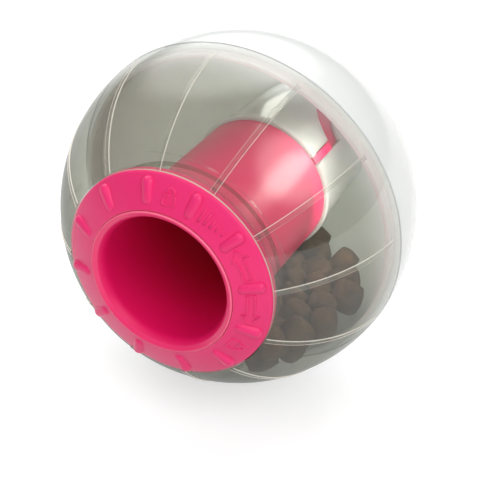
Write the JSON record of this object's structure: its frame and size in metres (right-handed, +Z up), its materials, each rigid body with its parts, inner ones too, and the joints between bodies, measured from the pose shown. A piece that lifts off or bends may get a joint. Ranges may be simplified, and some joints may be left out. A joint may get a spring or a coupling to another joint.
{
  "type": "treat dispensing ball",
  "caption": "Hollow treat ball with a smoky clear front half, a white rear half, and a tunnel with a locking grip ring that lets kibble out as it rolls.",
  "frame": {"origin": "centre of the ball, on the tunnel's axis", "axes": "-Y out of the tunnel's mouth, +Z up"},
  "size_m": [0.11, 0.1041, 0.11],
  "materials": {
    "smoky_clear": "clear gloss, smoke tinted",
    "white_gloss": "gloss",
    "pink_tube": "satin",
    "pink_ring": "satin",
    "kibble": "matt, rough"
  },
  "bodies": {
    "ball": {"front_shell": "smoky_clear", "rear_shell": "white_gloss", "tube_socket": "white_gloss", "treats": "kibble"},
    "tube": {"dispensing_tube": "pink_tube"},
    "ring": {"grip_ring": "pink_ring"}
  },
  "joints": [
    {"name": "tube_draw", "type": "slide", "parent": "ball", "child": "tube", "axis": [0, -1, 0], "range_m": [0, 0.1]},
    {"name": "ring_twist", "type": "hinge", "parent": "tube", "child": "ring", "pos_m": [0, 0, 0], "axis": [0, 1, 0], "range_deg": [0, 30]}
  ]
}
